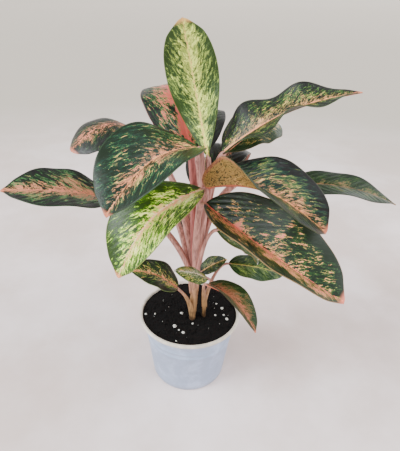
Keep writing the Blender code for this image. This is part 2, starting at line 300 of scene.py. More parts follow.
# %% [markdown]
# ## Floor and light
# A pale plain floor that sweeps up into a low wall far away on every side, as a studio's does,
# so the camera sees no line behind the plant. The light is soft daylight from two sides: a wide
# cool window high on the left, a weaker one on the right, a little fill from the front, a rim
# from behind that catches the blades' edges, and an even sky. Sun lamps with a wide angle light
# the whole floor evenly, and are still small enough to put a cool sheen on the blades that face
# them.

# %% Floor
FLOOR_PROFILE = ((0.0, 0.0), (1.5, 0.0), (4.0, 0.0), (7.0, 0.0), (9.0, 0.08), (10.5, 0.3),
                 (11.7, 0.7), (12.5, 1.3), (13.0, 2.1), (13.2, 3.0))  # metres out, metres up
floor_finish = Finish("pale_floor", Roughness=0.75, Specular_IOR_Level=0.15)
floor_place = floor_finish.place()
clouds = floor_finish.noise(floor_place, 3.5, 5.0, 0.6)
from_plant = floor_finish.add("ShaderNodeVectorMath", {"operation": "LENGTH"}, {0: floor_place},
                              output=1)
floor_near = floor_finish.mix(floor_finish.step(clouds, 0.35, 0.7), tone(214, 208, 206),
                              tone(223, 217, 217))
floor_back = floor_finish.mix(floor_finish.step(from_plant, 0.4, 2.0), floor_near,
                              tone(202, 198, 193))
_, _, floor_rise = floor_finish.parts(floor_place)
floor_colour = floor_finish.mix(floor_finish.step(floor_rise, 0.3, 2.8), floor_back,
                                (0.88, 0.87, 0.86, 1.0))
floor_mesh = bmesh.new()
rim = [floor_mesh.verts.new((out, 0.0, height)) for out, height in FLOOR_PROFILE]
edges = [floor_mesh.edges.new(pair) for pair in zip(rim, rim[1:])]
bmesh.ops.spin(floor_mesh, geom=rim + edges, cent=(0, 0, 0), axis=(0, 0, 1),
               angle=2 * math.pi, steps=96, use_merge=True)
bmesh.ops.remove_doubles(floor_mesh, verts=floor_mesh.verts, dist=1e-5)
floor_mesh.normal_update()
floor_mesh.faces.ensure_lookup_table()
if floor_mesh.faces[0].normal.z < 0:
    bmesh.ops.reverse_faces(floor_mesh, faces=floor_mesh.faces)
for face in floor_mesh.faces:
    face.smooth = True
mesh = bpy.data.meshes.new("floor")
floor_mesh.to_mesh(mesh)
floor_mesh.free()
mesh.materials.append(floor_finish.wear(Base_Color=floor_colour))
floor = bpy.data.objects.new("floor", mesh)
bpy.context.scene.collection.objects.link(floor)
floor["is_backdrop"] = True
print("floor is", [round(x, 1) for x in floor.dimensions], "m")


# %% Lamps
def add_sun(name, towards, strength, angle, colour):
    """A sun lamp that shines from this direction; a wide angle makes its shadows soft."""
    light = bpy.data.lights.new(name, "SUN")
    light.energy = strength
    light.angle = math.radians(angle)
    light.color = colour
    lamp = bpy.data.objects.new(name, light)
    lamp.rotation_euler = Vector(towards).to_track_quat("Z", "Y").to_euler()
    bpy.context.scene.collection.objects.link(lamp)
    return lamp


add_sun("window", (-0.74, -0.3, 0.6), 4.4, 36, (0.93, 0.98, 1.0))
add_sun("second_window", (0.74, -0.3, 0.6), 2.6, 50, (0.98, 0.99, 1.0))
add_sun("room", (-0.42, -0.86, 0.32), 1.6, 28, (0.95, 0.98, 1.0))
add_sun("rim", (0.58, 0.79, 0.22), 0.5, 26, (0.94, 0.98, 1.0))
world = bpy.data.worlds.new("daylight")
world.use_nodes = True
sky = world.node_tree.nodes["Background"]
sky.inputs["Color"].default_value = (1.0, 0.975, 0.95, 1.0)
sky.inputs["Strength"].default_value = 0.85
bpy.context.scene.world = world

# %% [markdown]
# ## Pot
# A thin moulded nursery pot: a straight taper, a band that flares to a flat rolled lip, and two
# faint rings below it. A profile turned round the axis gives all of that in one go, and 128
# steps keep its outline round. The drain holes are cut afterwards with one Boolean.

# %% Pot shape
POT_HEIGHT = 103.5
POT_LIP_RADIUS = 70.0
POT_LIP_HEIGHT = 4.5
POT_MOUTH_RADIUS = 66.5
POT_BASE_RADIUS = 52.0
POT_SHOULDER_RADIUS = 62.5
POT_SHOULDER_Z = 88.0
POT_CORNER = 3.0
POT_WALL = 1.6
POT_FLOOR = 2.0
POT_FOOT_SPREAD = 0.3        # how far the wall stands out beyond the base, above its corner
POT_RINGS = (70.0, 79.0)     # heights of the two faint rings
POT_RING_DEPTH = 0.45
GAP = 0.3                    # clearance between two pieces that touch
DRAIN_COUNT = 6
DRAIN_RADIUS = 3.5
DRAIN_CIRCLE = 34.0


def pot_wall(height):
    """Radius of the pot's outside below the shoulder."""
    share = (height - POT_CORNER) / (POT_SHOULDER_Z - POT_CORNER)
    foot = POT_BASE_RADIUS + POT_FOOT_SPREAD
    return foot + (POT_SHOULDER_RADIUS - foot) * share


def pot_profile():
    """The pot's outline from the middle of its base, up the outside and down the inside."""
    lip_z = POT_HEIGHT - POT_LIP_HEIGHT
    points = [(0, 0), (POT_BASE_RADIUS - POT_CORNER, 0)]
    for degrees in (20, 45, 70):
        angle = math.radians(degrees)
        points.append((POT_BASE_RADIUS - POT_CORNER * (1 - math.sin(angle)),
                       POT_CORNER * (1 - math.cos(angle))))
    points.append((POT_BASE_RADIUS + POT_FOOT_SPREAD, POT_CORNER))
    for ring in POT_RINGS:
        for offset, depth in ((-1.2, 0), (-0.5, 1), (0.5, 1), (1.2, 0)):
            points.append((pot_wall(ring + offset) + depth * POT_RING_DEPTH, ring + offset))
    points += [(POT_SHOULDER_RADIUS - 0.1, POT_SHOULDER_Z - 0.8),
               (POT_SHOULDER_RADIUS + 0.5, POT_SHOULDER_Z + 0.6),
               (POT_MOUTH_RADIUS + POT_WALL - 0.8, lip_z - 0.6),
               (POT_LIP_RADIUS - 0.9, lip_z - 0.1),
               (POT_LIP_RADIUS - 0.2, lip_z + 0.3),
               (POT_LIP_RADIUS, lip_z + 1.0),
               (POT_LIP_RADIUS, POT_HEIGHT - 1.3),
               (POT_LIP_RADIUS - 0.4, POT_HEIGHT - 0.4),
               (POT_LIP_RADIUS - 1.2, POT_HEIGHT),
               (POT_MOUTH_RADIUS + 0.5, POT_HEIGHT),
               (POT_MOUTH_RADIUS, POT_HEIGHT - 0.4),
               (POT_MOUTH_RADIUS - 0.5, lip_z),
               (POT_SHOULDER_RADIUS - POT_WALL, POT_SHOULDER_Z),
               (POT_BASE_RADIUS - POT_WALL, POT_FLOOR),
               (0, POT_FLOOR)]
    return points


# %% [markdown]
# The plastic is white with a cool cast. The lip is thicker, so it looks creamier. The moulding
# leaves a faint haze of scuffs and a slightly rough skin, and the foot turns a little darker
# towards the bottom.

# %% Pot finish
CREAM_LOW, CREAM_HIGH = 0.096, 0.0985  # heights in metres between which the wall turns creamy
FOOT_DARKENING_HIGH = 0.012                    # height in metres below which the foot turns darker


def pot_finish():
    finish = Finish("white_plastic", Specular_IOR_Level=0.4)
    place = finish.place()
    _, _, height = finish.parts(place)
    band = finish.step(height, CREAM_LOW, CREAM_HIGH)
    foot = finish.step(height, FOOT_DARKENING_HIGH, 0.0)
    scuffs = finish.noise(place, 55.0, 6.0, 0.65)
    streaks = finish.noise(finish.vector(height * 3.0, 0.0, 0.0), 90.0, 2.0)
    body = finish.mix(finish.step(scuffs, 0.42, 0.7), tone(186, 194, 206), tone(198, 204, 214))
    cream = finish.mix(finish.step(scuffs, 0.4, 0.7), tone(206, 203, 198), tone(218, 215, 210))
    colour = finish.mix(band, body, cream)
    # the pot turns a little darker towards the bottom of its foot
    colour = finish.mix(foot * 0.35, colour, tone(176, 170, 164))
    skin = finish.noise(place, 900.0, 2.0) * 0.6 + streaks * 0.4
    return finish.wear(Base_Color=colour, Roughness=0.36 + scuffs * 0.16,
                       Normal=finish.bump(skin, 0.0001, 0.35))


# %% Make the pot
def cut_drains(pot):
    """Cut the drain holes out of the pot's floor."""
    group = bpy.data.collections.new("drains")
    bpy.context.scene.collection.children.link(group)
    for index in range(DRAIN_COUNT):
        angle = 2 * math.pi * (index + 0.5) / DRAIN_COUNT
        centre = Vector((DRAIN_CIRCLE * math.cos(angle), DRAIN_CIRCLE * math.sin(angle), 1)) * MM
        bm = bmesh.new()
        bmesh.ops.create_cone(bm, cap_ends=True, segments=24, radius1=DRAIN_RADIUS * MM,
                              radius2=DRAIN_RADIUS * MM, depth=12 * MM,
                              matrix=Matrix.Translation(centre))
        mesh = bpy.data.meshes.new("drain")
        bm.to_mesh(mesh)
        bm.free()
        group.objects.link(bpy.data.objects.new("drain", mesh))
    cut = pot.modifiers.new("drains", "BOOLEAN")
    cut.operation = "DIFFERENCE"
    cut.operand_type = "COLLECTION"
    cut.collection = group
    cut.solver = "EXACT"
    depsgraph = bpy.context.evaluated_depsgraph_get()
    mesh = bpy.data.meshes.new_from_object(pot.evaluated_get(depsgraph))
    pot.modifiers.clear()
    pot.data = mesh
    for drain in list(group.objects):
        bpy.data.objects.remove(drain)
    bpy.data.collections.remove(group)


pot_mesh = bmesh.new()
revolve(pot_mesh, pot_profile(), 128)
pot = add_piece("nursery_pot", pot_mesh, [pot_finish()], ["pot"], sharp=50.0)
cut_drains(pot)
print("pot:", len(pot.data.polygons), "faces")

# %% [markdown]
# ## Soil
# Peaty potting mix: almost black, uneven, and full of crumbs. The filling itself is a turned
# profile whose top is moved up and down by noise. Fifteen hundred small crumbs, each a squashed
# icosphere of twenty faces, lie on it and break up its edge. They are joined into one piece.

# %% Soil shape
SOIL_TOP = 101.0
SOIL_MOUND = 1.5
SOIL_CRUMB = 0.9
SOIL_RINGS = 64
CRUMBS = 1500
soil_random = random.Random(5)


def soil_height(x, y):
    """Height of the soil's top in broad lumps: a low mound, level at the pot's wall."""
    out = min(1.0, math.hypot(x, y) / POT_MOUTH_RADIUS)
    lumps = noise.noise(Vector((x, y, 0)) * 0.09) + 0.5 * noise.noise(Vector((x, y, 40)) * 0.25)
    return SOIL_TOP + (SOIL_MOUND + SOIL_CRUMB * lumps) * (1 - out ** 4)


def soil_crumble(x, y):
    """The finer crumbs on top of the lumps."""
    spot = Vector((x, y, 7.0))
    return 0.9 * noise.noise(spot * 0.45) + 0.6 * noise.noise(spot * 0.95) - 0.3


def make_soil(finish):
    edge = POT_MOUTH_RADIUS - 1.0
    low = POT_FLOOR + GAP
    inset = POT_WALL + 2 * GAP
    profile = [(0, low), (POT_BASE_RADIUS - inset, low),
               (POT_SHOULDER_RADIUS - inset, POT_SHOULDER_Z), (edge, SOIL_TOP - 2.0)]
    profile += [(edge * (1 - ring / SOIL_RINGS), SOIL_TOP) for ring in range(SOIL_RINGS + 1)]
    bm = bmesh.new()
    revolve(bm, profile, 200)
    for vert in bm.verts:
        if vert.co.z > (SOIL_TOP - 0.01) * MM:
            x, y = vert.co.x / MM, vert.co.y / MM
            vert.co.z = (soil_height(x, y) + soil_crumble(x, y)) * MM
    return add_piece("potting_soil", bm, [finish], ["soil"], sharp=80.0)


def add_lump(bm, centre, radius, squash, jitter, subdivisions=1):
    """One crumb: an icosphere, stretched, turned at random and made uneven."""
    turned = Matrix.Rotation(soil_random.uniform(0, 6.28), 4, Vector((
        soil_random.uniform(-1, 1), soil_random.uniform(-1, 1), soil_random.uniform(0.2, 1))))
    stretch = Matrix.Diagonal((1.0, soil_random.uniform(0.6, 1.0), squash, 1.0))
    made = bmesh.ops.create_icosphere(bm, subdivisions=subdivisions, radius=radius * MM,
                                      matrix=Matrix.Translation(centre * MM) @ turned @ stretch)
    for vert in made["verts"]:
        vert.co += (vert.co - centre * MM) * (noise.noise(vert.co * 900) * jitter)


def make_crumbs(finish):
    bm = bmesh.new()
    for _ in range(CRUMBS):
        out = (POT_MOUTH_RADIUS - 2.5) * math.sqrt(soil_random.random())
        angle = soil_random.uniform(0, 2 * math.pi)
        x, y = out * math.cos(angle), out * math.sin(angle)
        radius = 0.5 + 1.3 * soil_random.random() ** 3
        centre = Vector((x, y, soil_height(x, y) + soil_crumble(x, y) + radius * 0.25))
        add_lump(bm, centre, radius, soil_random.uniform(0.5, 0.9), 0.9)
    return add_piece("soil_crumbs", bm, [finish], sharp=25.0)


# %% Soil finish
def soil_finish():
    finish = Finish("potting_mix", Roughness=0.95, Specular_IOR_Level=0.2)
    place = finish.place()
    grains = finish.noise(place, 420.0, 4.0, 0.7)
    patches = finish.noise(place, 60.0, 3.0)
    colour = finish.mix(finish.step(grains, 0.4, 0.75), tone(14, 10, 9), tone(40, 31, 27))
    colour = finish.mix(finish.step(patches, 0.5, 0.8) * 0.5, colour, tone(26, 20, 18))
    flakes = finish.step(finish.noise(place, 700.0, 1.0), 0.72, 0.78)
    colour = finish.mix(flakes * 0.5, colour, tone(92, 74, 60))
    return finish.wear(Base_Color=colour, Normal=finish.bump(grains, 0.0008, 0.8))


soil_look = soil_finish()
soil = make_soil(soil_look)
crumbs = make_crumbs(soil_look)
print("soil:", len(soil.data.polygons), "faces, crumbs:", len(crumbs.data.polygons), "faces")

# %% [markdown]
# White grains of perlite lie half sunk in the soil. The large ones each have a place of their
# own. A sprinkle of dust-fine ones is scattered by a seeded rule.

# %% Perlite
PERLITE = (
    (-61, -9, 1.7), (-48, -9, 1.6), (-11, -6, 2.4), (-19, -32, 2.8), (-7, -44, 2.4),
    (-13, -39, 1.4), (-15, -59, 1.6), (38, 17, 1.5), (46, 8, 2.2), (48, -6, 1.6), (52, -14, 2.3),
    (36, -8, 1.5), (5, -26, 1.5),
)
PERLITE_SINK = 0.45          # share of the radius that lies below the soil's level
PERLITE_BODY = 0.88          # share of the radius that is smooth; the bumps stand out beyond it
PERLITE_DUST = 22


def perlite_finish():
    finish = Finish("perlite_white", Roughness=0.9, Specular_IOR_Level=0.3)
    place = finish.place()
    pores = finish.noise(place, 1400.0, 3.0, 0.7)
    colour = finish.mix(finish.step(pores, 0.35, 0.6), tone(166, 160, 152), tone(226, 224, 219))
    return finish.wear(Base_Color=colour, Normal=finish.bump(pores, 0.0004, 0.8))


perlite_look = perlite_finish()
for index, (x, y, radius) in enumerate(PERLITE):
    grain = bmesh.new()
    centre = Vector((x, y, soil_height(x, y) + radius * (1 - 2 * PERLITE_SINK)))
    add_lump(grain, centre, radius * PERLITE_BODY, 0.9, 0.5, subdivisions=3)
    name = f"perlite_{index + 1:02d}"
    add_piece("grain_" + name[-2:], grain, [perlite_look], [name], sharp=60.0)
dust = bmesh.new()
for _ in range(PERLITE_DUST):
    out = (POT_MOUTH_RADIUS - 5) * math.sqrt(soil_random.random())
    angle = soil_random.uniform(0, 2 * math.pi)
    x, y = out * math.cos(angle), out * math.sin(angle)
    radius = soil_random.uniform(0.3, 0.6)
    spot = Vector((x, y, soil_height(x, y) + soil_crumble(x, y) + radius * 0.6))
    add_lump(dust, spot, radius, 0.8, 0.5)
add_piece("perlite_dust", dust, [perlite_look])
print("perlite grains:", len(PERLITE))

# %% [markdown]
# ## Leaves
# Every leaf is described by the same few numbers: where its blade starts and ends, how wide it
# is, how it arches, rolls, folds up on each side of the midrib, bows and waves, and which look
# it has. Nothing is placed by hand beyond this table, so a leaf can be changed in one row.

# %% Leaf table
@dataclass
class Leaf:
    """One leaf: its look, where its blade starts and ends, and its shape between them."""
    name: str
    look: str
    base: tuple              # where the stalk meets the blade
    tip: tuple
    width: float
    arch: float = 0.0        # how far the midrib rises above the straight line base to tip
    sweep: float = 0.0       # how far the midrib bows to the leaf's left
    roll: float = 0.0        # degrees, lifts the left half and drops the right half
    twist: float = 0.0       # degrees of turn between base and tip
    left: tuple = (5, 5, 5)  # degrees each half is folded up, at even steps from base to tip
    right: tuple = (5, 5, 5)
    bow: float = 20.0        # degrees each half curls down towards its margin
    wave: float = 1.5        # height of the margin's waves
    waves: float = 2.5       # number of waves along the margin
    phase: float = 0.0       # where the waves start, in turns
    blunt_base: float = 0.6  # lower is rounder
    blunt_tip: float = 0.8
    rise: float = 170.0      # height at which the stalk leaves the cane
    lift: float = 0.45       # how upright the stalk starts
    petiole: tuple = (5.0, 3.0)  # radius at the sheath and at the blade
    cane: str = "main"


SMALL = dict(petiole=(2.8, 1.7))

LEAVES = (
    Leaf("top", "lime", (16, -12, 334), (-15, 0, 472), 57, arch=-6, sweep=-14, roll=-76, twist=10,
         left=(12, 12, 12), right=(12, 12, 12), bow=10, wave=1, blunt_base=1.0, blunt_tip=0.55,
         rise=186),
    Leaf("back_left", "rosy", (-4, 8, 333), (-50, 92, 391), 74, arch=34, sweep=8, roll=-12,
         bow=10, wave=1, blunt_base=0.55, blunt_tip=0.6, rise=172, petiole=(5.4, 4.2)),
    Leaf("front_left", "teal", (6, -20, 348), (-77, -118, 311), 92, arch=22, roll=-28,
         left=(45, 48, 45), right=(8, 15, 12), bow=15, blunt_base=0.72, blunt_tip=0.72, rise=182),
    Leaf("far_left", "banded", (-86, -23, 284), (-192, -75, 314), 70, arch=8, sweep=8, roll=-14,
         left=(15, 15, 15), right=(16, 16, 16), bow=10, blunt_base=0.9, rise=150, lift=0.6),
    Leaf("left", "dark", (-62, 62, 333), (-144, 8, 329), 70, arch=25, roll=-5,
         left=(-10, -10, -10), right=(0, 0, 0), bow=15, wave=1, blunt_base=0.7, blunt_tip=0.45,
         rise=166, lift=0.62),
    Leaf("pale", "pale", (12, -35, 306), (-72, -110, 237), 81, arch=22, sweep=-2, roll=-23,
         left=(40, 41, 40), right=(6, 16, 1), bow=15, blunt_base=0.73, blunt_tip=0.68,
         rise=168),
    Leaf("upper_right", "mottled", (32, -5, 338), (176, 0, 409), 69, arch=13, roll=20,
         left=(26, 20, 20), right=(30, 38, 30), bow=10, wave=7, waves=2.5, phase=0.58,
         blunt_base=0.57, blunt_tip=0.95, rise=180),
    Leaf("under_right", "shaded", (36, 18, 333), (109, 72, 353), 62, arch=18, roll=15,
         left=(0, 0, 0), right=(-15, -15, -15), bow=15, blunt_tip=0.45, rise=174),
    Leaf("right", "ochre", (16, -25, 304), (139, -85, 284), 82, arch=29, sweep=-17, roll=15,
         twist=11, left=(24, 26, 48), right=(126, 90, 46, 32, 38), bow=8, blunt_base=0.57,
         blunt_tip=0.63, rise=176),
    Leaf("far_right", "grey", (113, 20, 294), (246, 0, 280), 52, arch=14, sweep=-10, roll=10,
         left=(12, 12, 12), right=(8, 8, 8), bow=5, wave=2.5, waves=1.8,
         blunt_base=0.8, blunt_tip=1.1, rise=186, lift=1.1),
    Leaf("front_right", "splashed", (15, -40, 291), (157, -125, 227), 105, arch=-3, roll=13,
         left=(39, 45, 17), right=(34, 41, 37), bow=5, wave=2, blunt_tip=0.63, rise=170),
    Leaf("back_high", "dark", (4, 28, 322), (24, 140, 350), 52, arch=25, roll=5,
         left=(10, 10, 10), right=(10, 10, 10), rise=178),
    Leaf("back_right", "dark", (24, 28, 290), (72, 142, 272), 54, arch=35, roll=5, rise=165),
    Leaf("back", "mottled", (8, 35, 272), (22, 165, 255), 54, arch=30, rise=156),
    Leaf("back_low_left", "teal", (-40, 45, 258), (-133, 100, 265), 54, arch=22, rise=140, lift=0.6),
    Leaf("back_low", "dark", (0, 25, 205), (-18, 130, 185), 48, arch=25, rise=140,
         petiole=(3.6, 2.2)),
    Leaf("low_right", "olive", (30, -22, 248), (88, -4, 188), 52, arch=22, roll=42, rise=150,
         petiole=(3.8, 2.4)),
    Leaf("low_far_right", "lined", (50, 0, 186), (126, 0, 171), 43, arch=4, sweep=-2, roll=18,
         left=(0, 0, 0), bow=10, rise=128, cane="side", **SMALL),
    Leaf("low_left", "blotched", (-15, -30, 165), (-74, -40, 197), 46, arch=6, sweep=-2, roll=-28,
         left=(30, 30, 30), bow=15, rise=106, petiole=(4.0, 2.0)),
    Leaf("small_right", "netted", (13, -35, 195), (44, -35, 215), 22, arch=2, roll=30,
         left=(15, 15, 15), right=(15, 15, 15), bow=10, wave=0.8, rise=160, **SMALL),
    Leaf("small_left", "striped", (22, -54, 200), (-17, -68, 219), 27, arch=3, roll=-30,
         left=(0, 0, 0), right=(-30, -30, -30), bow=5, wave=0.8, rise=155, **SMALL),
    Leaf("lowest", "bronze", (23, -30, 173), (81, -85, 146), 38, arch=14, roll=22,
         right=(68, 62, 55), bow=5, wave=1, rise=118, cane="side", **SMALL),
)
print("leaves:", len(LEAVES))

# %% [markdown]
# A blade is a grid bent by a formula. `midrib` gives a point on the midrib and the directions
# there. `blade_point` goes out from it to one side, folded up and bowed like the real half
# blade, with a wave that grows towards the margin. `relief` adds what only the fine piece has:
# the sunken midrib and the soft quilting between the side veins.

# %% Blade formula
BLADE_NECK = 2.2             # half width where the stalk meets the blade
BLADE_EDGE = 0.8             # thickness at the margin
BLADE_RIB = 2.4              # thickness over the midrib at the blade's base
RIB_SPREAD = 2.4             # how far the midrib's swelling reaches to each side
RIB_TAPER = 0.7              # share of its swelling that the midrib loses by the tip
WAVE_SHIFT = 0.35            # how far the right margin's waves are ahead of the left's, in turns
END_CROWDING = 0.4           # 0 spaces a blade's rows evenly, 1 crowds them most at both ends
VEIN_SLANT = 1.0             # how far the side veins lean towards the tip
VEIN_CURVE = 0.013           # and how they curve on, per millimetre
VEIN_PITCH = 10.5            # distance between two side veins
QUILT_HEIGHT = 0.75          # how far the blade swells between them
GROOVE_DEPTH = 0.8           # how deep the midrib is sunk
GROOVE_WIDTH = 1.5


def outline(leaf, s):
    """Share of the blade's half width at s, which runs from 0 at the base to 1 at the tip."""
    a, b = leaf.blunt_base, leaf.blunt_tip
    peak = a / (a + b)
    share = (s ** a) * ((1 - s) ** b) / (peak ** a * (1 - peak) ** b)
    return share * (1 - 0.5 * b * smooth_step(0.9, 1.0, s))


def fold_at(folds, s):
    """A half's fold in radians at s, from its values at even steps from the base to the tip."""
    place = s * (len(folds) - 1)
    step = min(int(place), len(folds) - 2)
    return math.radians(folds[step] + (folds[step + 1] - folds[step]) * (place - step))


def midrib(leaf, s):
    """Point on the midrib, the way it runs, the way to the left margin and the way up."""
    base, tip = Vector(leaf.base), Vector(leaf.tip)
    chord = tip - base
    level = UP.cross(chord).normalized()
    above = chord.cross(level).normalized()
    bend = above * leaf.arch + level * leaf.sweep
    point = base + chord * s + bend * math.sin(math.pi * s)
    along = (chord + bend * math.pi * math.cos(math.pi * s)).normalized()
    roll = math.radians(leaf.roll)
    lean = level * math.cos(roll) + above * math.sin(roll)
    side = (lean - along * lean.dot(along)).normalized()
    turn = Matrix.Rotation(math.radians(leaf.twist) * (s - 0.5), 3, along)
    side = turn @ side
    return point, along, side, along.cross(side)


def half_width(leaf, s):
    half = leaf.width / 2 * outline(leaf, s)
    return max(half, BLADE_NECK) if s < 0.5 else half


def relief(leaf, s, t):
    """How far the upper face stands above the smooth blade: veins sunk, the rest quilted."""
    out = abs(t) * half_width(leaf, s)
    run = s * (Vector(leaf.tip) - Vector(leaf.base)).length
    vein = run - VEIN_SLANT * out - VEIN_CURVE * out * out
    quilt = 0.5 - 0.5 * math.cos(2 * math.pi * vein / VEIN_PITCH)
    reach = smooth_step(1.0, 8.0, out) * (1 - abs(t) ** 3) * smooth_step(1.0, 0.8, s)
    groove = math.exp(-(out / GROOVE_WIDTH) ** 2) * (1 - 0.6 * s)
    return QUILT_HEIGHT * (quilt ** 0.6 - 0.6) * reach - GROOVE_DEPTH * groove


def blade_point(leaf, s, t):
    """A point on the blade's upper face: s runs along it and t from -1, right, to 1, left."""
    point, _, side, above = midrib(leaf, s)
    half = half_width(leaf, s)
    fold = fold_at(leaf.left if t > 0 else leaf.right, s)
    bow = math.radians(leaf.bow)
    out = abs(t)
    across = (math.sin(fold) - math.sin(fold - bow * out)) / bow
    rise = (math.cos(fold - bow * out) - math.cos(fold)) / bow
    turns = leaf.waves * s + leaf.phase + (WAVE_SHIFT if t < 0 else 0.0)
    wave = leaf.wave * math.sin(2 * math.pi * turns) * out ** 1.5 * half / (leaf.width / 2)
    face = Vector((-math.sin(fold - bow * out), 0, math.cos(fold - bow * out)))
    lift = relief(leaf, s, t)
    return (point + side * math.copysign(across * half + face.x * lift, t)
            + above * (rise * half + wave + face.z * lift))


# %% [markdown]
# The pattern follows the blade, so each vertex keeps its place on it, in decimetres: how far
# along the midrib it is, how far to the left or right of it, and how far from the margin. A
# second attribute keeps the shares 0 to 1. The blade gets its thickness from a Solidify
# modifier, thicker over the midrib, which also gives the underside a finish of its own.

# %% Make a blade
DECI = 0.01                  # millimetres to decimetres
BLADE_ROWS = 110
BLADE_HALF_COLUMNS = 22


def make_blade(leaf, finishes):
    length = (Vector(leaf.tip) - Vector(leaf.base)).length
    size = min(1.0, max(0.4, length / 120))
    bm = bmesh.new()
    bmesh.ops.create_grid(bm, x_segments=2 * round(BLADE_HALF_COLUMNS * size),
                          y_segments=round(BLADE_ROWS * size), size=1.0)
    place = bm.verts.layers.float_vector.new("place")
    shares = bm.verts.layers.float_vector.new("shares")
    thickness = {}
    for vert in bm.verts:
        t, u = vert.co.x, (vert.co.y + 1) / 2
        s = u + END_CROWDING * ((1 - math.cos(math.pi * u)) / 2 - u)
        half = half_width(leaf, s)
        away = t * half
        margin = (1 - abs(t)) * half
        vert[place] = Vector((s * length, away, margin)) * DECI
        vert[shares] = Vector((s, t, 0.0))
        rib = (BLADE_RIB - BLADE_EDGE) * (1 - RIB_TAPER * s) * math.exp(-(away / RIB_SPREAD) ** 2)
        vert.co = blade_point(leaf, s, t) * MM
        thickness[vert.index] = (BLADE_EDGE + rib) / BLADE_RIB
    layer = bm.verts.layers.deform.new()
    for vert in bm.verts:
        vert[layer][0] = thickness[vert.index]
    bmesh.ops.remove_doubles(bm, verts=bm.verts, dist=2e-6)
    bm.normal_update()
    inner = blade_point(leaf, 0.5, 0.1) * MM
    middle = min(bm.faces, key=lambda face: (face.calc_center_median() - inner).length)
    if middle.normal.dot(midrib(leaf, 0.5)[3]) < 0:
        bmesh.ops.reverse_faces(bm, faces=bm.faces)
    blade = add_piece("blade_" + leaf.name, bm, finishes, ["leaf_" + leaf.name], sharp=70.0)
    blade.vertex_groups.new(name="thickness")
    solid = blade.modifiers.new("thickness", "SOLIDIFY")
    solid.thickness = BLADE_RIB * MM
    solid.offset = -1.0
    solid.vertex_group = "thickness"
    solid.material_offset = 1
    return blade


# %% [markdown]
# ## The pattern on the blades
# An Aglaonema's blade looks splashed, but its colours keep an order: near black, green, olive,
# cream and, where it is palest, salmon. Each pale splash has a rim of the colours before it. So
# the whole pattern is one number, its level, and a colour ramp with a band for each colour. A
# look says how much of the blade each band covers, and the ramp's stops follow from that.

# %% Looks
@dataclass
class Look:
    """A blade's colours, from the darkest to the palest, and how they lie on it."""
    bands: tuple             # (share of the blade, colour)
    rib: tuple               # the midrib
    under: tuple             # the underside
    gather: float = 0.3      # how strongly the pale bands gather round the midrib
    patch: float = 0.6       # how strongly they gather in broad patches
    grain: float = 1.0       # size of the splashes
    stretch: float = 1.0     # how much longer than usual they are
    rib_width: float = 0.012  # half width of the coloured midrib, in decimetres
    blush: float = 0.5       # how much of the midrib's colour the pale splashes near it take
    # painted shade: lean darkens one half of the blade, the half that gets less light
    lean: float = 0.0        # above 0 the left half is darker, below 0 the right half
    margin: float = 0.03     # width of the plain edge, in decimetres


# The palette: greens, then creams, browns and pinks. All blades take their bands from it.
INK = tone(10, 26, 12)
PINE = tone(18, 50, 24)
SPRUCE = tone(30, 75, 60)
BOTTLE = tone(45, 75, 35)
FOREST = tone(35, 80, 38)
MOSS = tone(50, 105, 50)
MEADOW = tone(60, 95, 18)
FERN = tone(90, 125, 65)
JADE = tone(110, 168, 108)
APPLE = tone(130, 170, 85)
GRASS = tone(112, 160, 30)
LIME = tone(172, 208, 70)
SAGE = tone(140, 158, 98)
PEA = tone(186, 200, 122)
OLIVE = tone(170, 162, 90)
KHAKI = tone(148, 126, 80)
WHEAT = tone(210, 190, 140)
BUTTER = tone(218, 228, 172)
CREAM = tone(222, 204, 164)
IVORY = tone(238, 232, 195)
CHALK = tone(245, 240, 235)
MAROON = tone(136, 74, 58)
BRONZE = tone(168, 128, 88)
SAND = tone(188, 160, 128)
CORAL = tone(208, 132, 118)
SHELL = tone(218, 174, 152)
PEACH = tone(238, 192, 170)
SALMON = tone(243, 188, 178)
BLUSH = tone(246, 178, 176)
BLOSSOM = tone(246, 222, 212)

